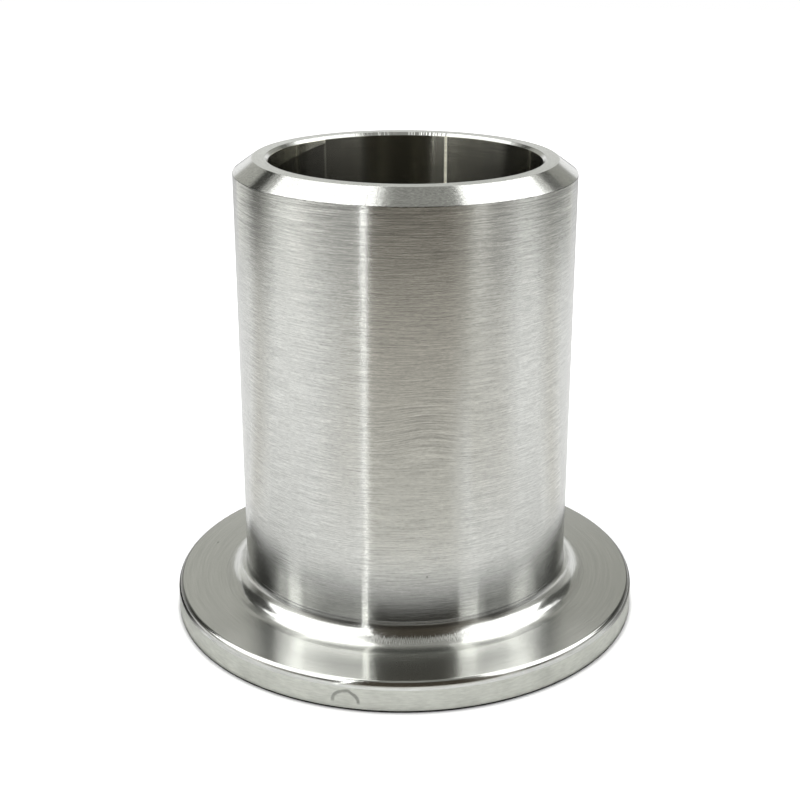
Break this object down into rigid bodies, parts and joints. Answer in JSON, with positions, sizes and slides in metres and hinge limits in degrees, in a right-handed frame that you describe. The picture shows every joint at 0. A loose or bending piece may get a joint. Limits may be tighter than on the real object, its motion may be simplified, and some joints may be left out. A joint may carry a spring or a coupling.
{
  "type": "lap joint stub end",
  "caption": "Stainless lap joint stub end: a thick plain barrel with a weld bevel, flaring through a round fillet into a flat lap that a loose backing flange clamps.",
  "frame": {"origin": "middle of the lap's gasket face, on the fitting's axis", "axes": "+Z along the axis from the gasket face to the weld end; X and Y are alike, because the part is round"},
  "size_m": [0.127, 0.127, 0.125],
  "materials": {
    "stainless_steel": "turned stainless steel: barrel brushed round, fillet polished, lap, bevel and bore fine turned"
  },
  "bodies": {
    "root": {"stub_end": "stainless_steel"}
  },
  "joints": []
}
